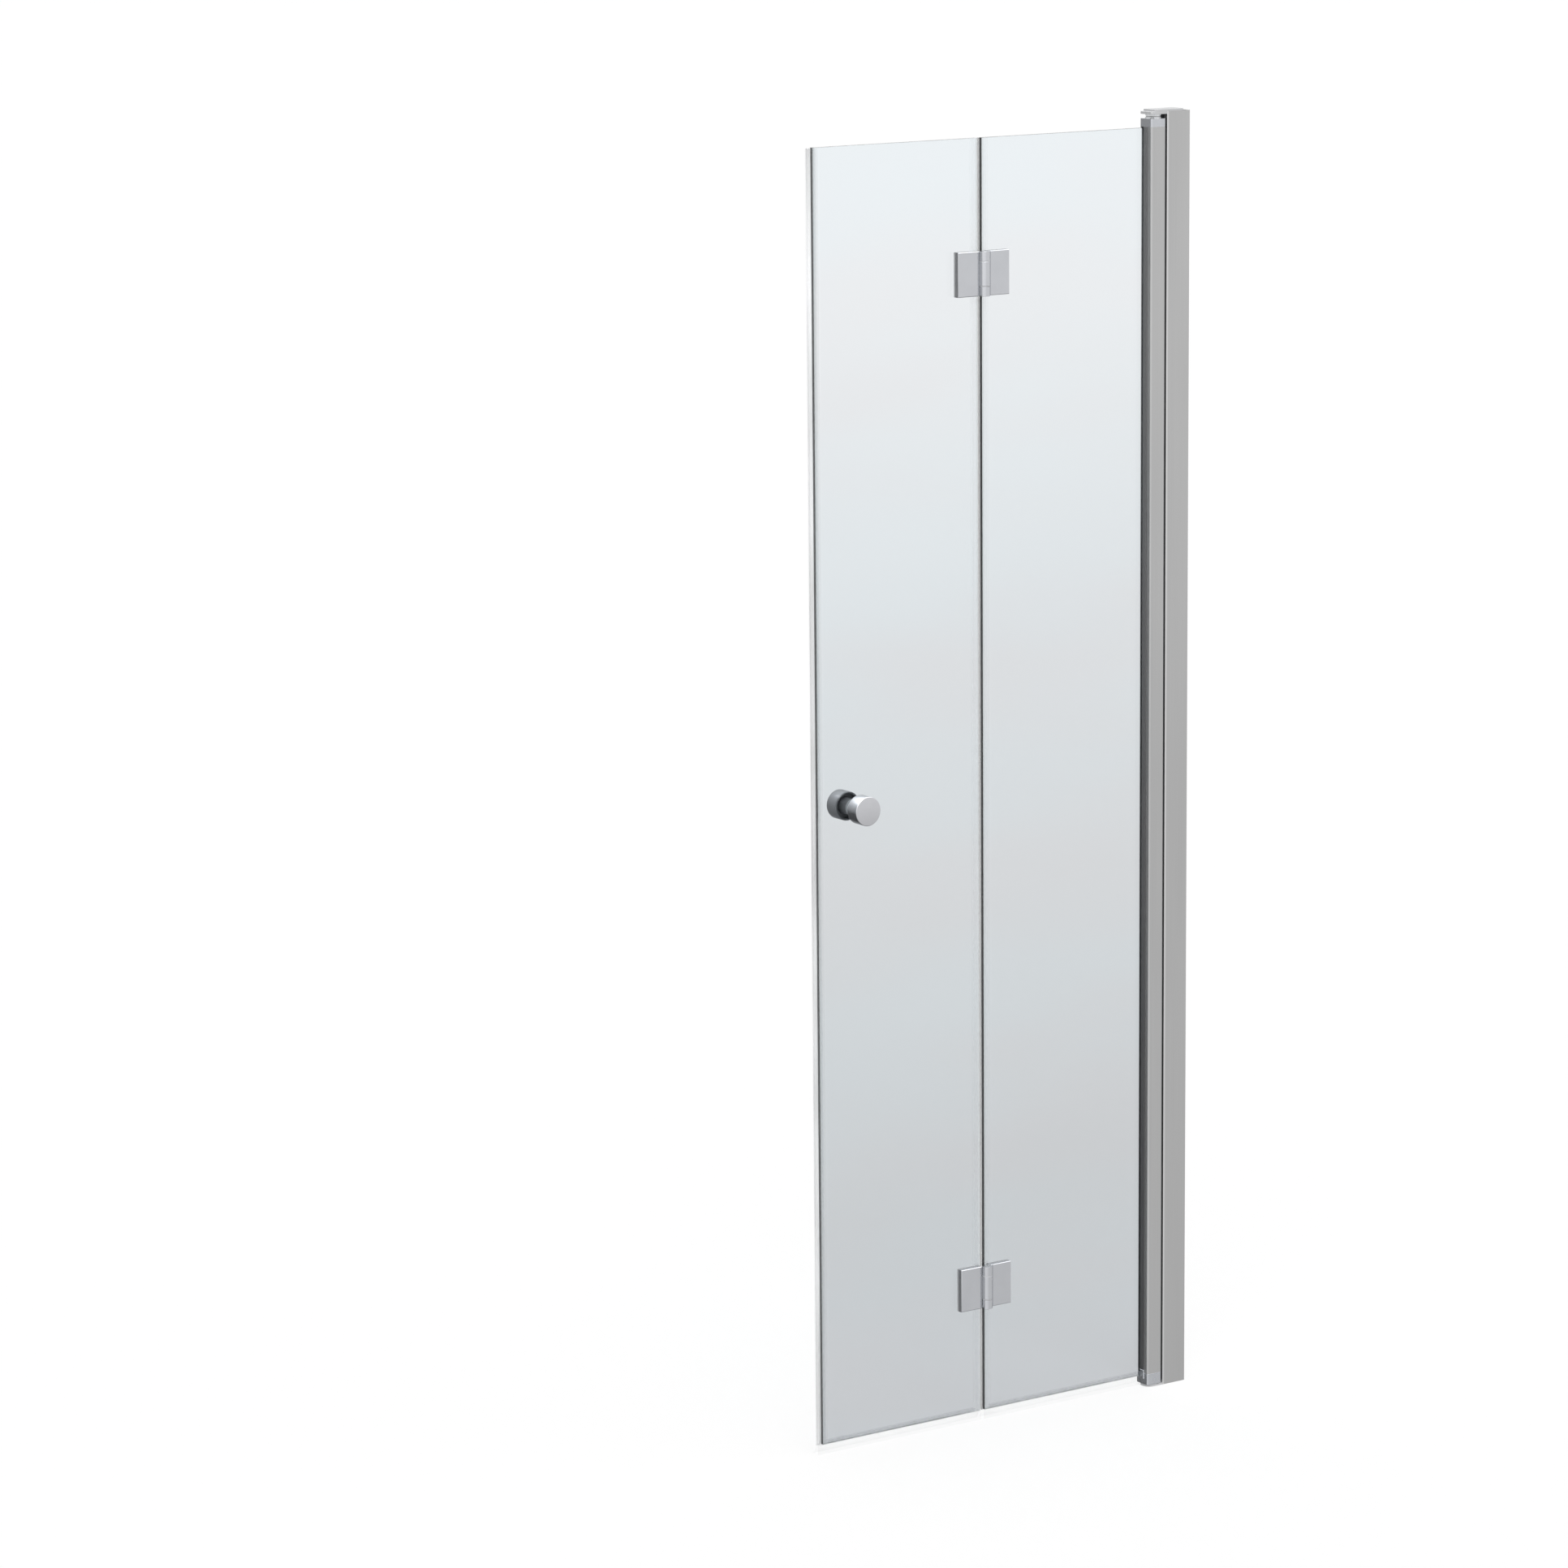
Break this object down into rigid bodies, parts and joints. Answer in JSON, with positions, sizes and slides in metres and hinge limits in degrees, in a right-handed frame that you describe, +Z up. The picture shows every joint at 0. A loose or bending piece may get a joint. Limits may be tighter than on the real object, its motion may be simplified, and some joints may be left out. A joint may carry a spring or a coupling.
{
  "type": "bifold shower door",
  "caption": "Frameless folding shower door: clear glass panes joined by glass hinges, hung on a pivot profile beside a wall profile, with a turned knob and clear seals.",
  "frame": {"origin": "tray level, on the middle plane of the glass, halfway across the closed door", "axes": "+X along the closed door towards the wall, +Y into the shower, +Z up"},
  "size_m": [0.673, 0.078, 1.95],
  "materials": {
    "satin_profile": "satin anodised",
    "mill_profile": "mill",
    "grey_casting": "satin grey",
    "steel": "turned",
    "cap_plastic": "light grey",
    "pale_plastic": "off-white",
    "pad_grey": "grey",
    "dark_rubber": "matt",
    "magnet_grey": "matt",
    "clear_glass": "clear toughened",
    "clear_seal": "translucent",
    "hinge_chrome": "polished",
    "knob_chrome": "polished"
  },
  "bodies": {
    "frame": {"wall_profile": "satin_profile", "adjust_profile": "mill_profile", "gap_gasket": "dark_rubber", "top_bracket": "grey_casting", "bottom_bracket": "grey_casting", "top_bush": "pale_plastic", "bottom_pin": "steel", "bracket_screws": "steel", "adjust_screws": "steel"},
    "inner_panel": {"pivot_profile": "satin_profile", "top_cap": "cap_plastic", "bottom_cap": "cap_plastic", "top_pin": "steel", "bottom_bush": "pale_plastic", "cap_screws": "steel", "glazing_gasket": "dark_rubber", "inner_glass": "clear_glass", "inner_fold_seal": "clear_seal", "inner_drip_seal": "clear_seal", "inner_leaf_upper": "hinge_chrome", "inner_leaf_lower": "hinge_chrome", "inner_pad_upper": "pad_grey", "inner_pad_lower": "pad_grey", "hinge_pins": "steel", "hinge_washers": "pale_plastic", "inner_glass_screws": "steel", "inner_cone_washers": "pale_plastic"},
    "outer_panel": {"outer_glass": "clear_glass", "outer_fold_seal": "clear_seal", "outer_drip_seal": "clear_seal", "edge_seal": "clear_seal", "magnet_strip": "magnet_grey", "outer_leaf_upper": "hinge_chrome", "outer_leaf_lower": "hinge_chrome", "outer_pad_upper": "pad_grey", "outer_pad_lower": "pad_grey", "outer_glass_screws": "steel", "outer_cone_washers": "pale_plastic", "front_knob": "knob_chrome", "rear_knob": "knob_chrome", "knob_stud": "steel", "front_knob_washer": "pale_plastic", "rear_knob_washer": "pale_plastic"}
  },
  "joints": [
    {"name": "wall_pivot", "type": "hinge", "parent": "frame", "child": "inner_panel", "pos_m": [0.2785, -0.0075, 0], "axis": [0, 0, -1], "range_deg": [0, 90]},
    {"name": "fold", "type": "hinge", "parent": "inner_panel", "child": "outer_panel", "pos_m": [-0.0355, -0.0156, 0.2], "axis": [0, 0, 1], "range_deg": [0, 174]}
  ]
}
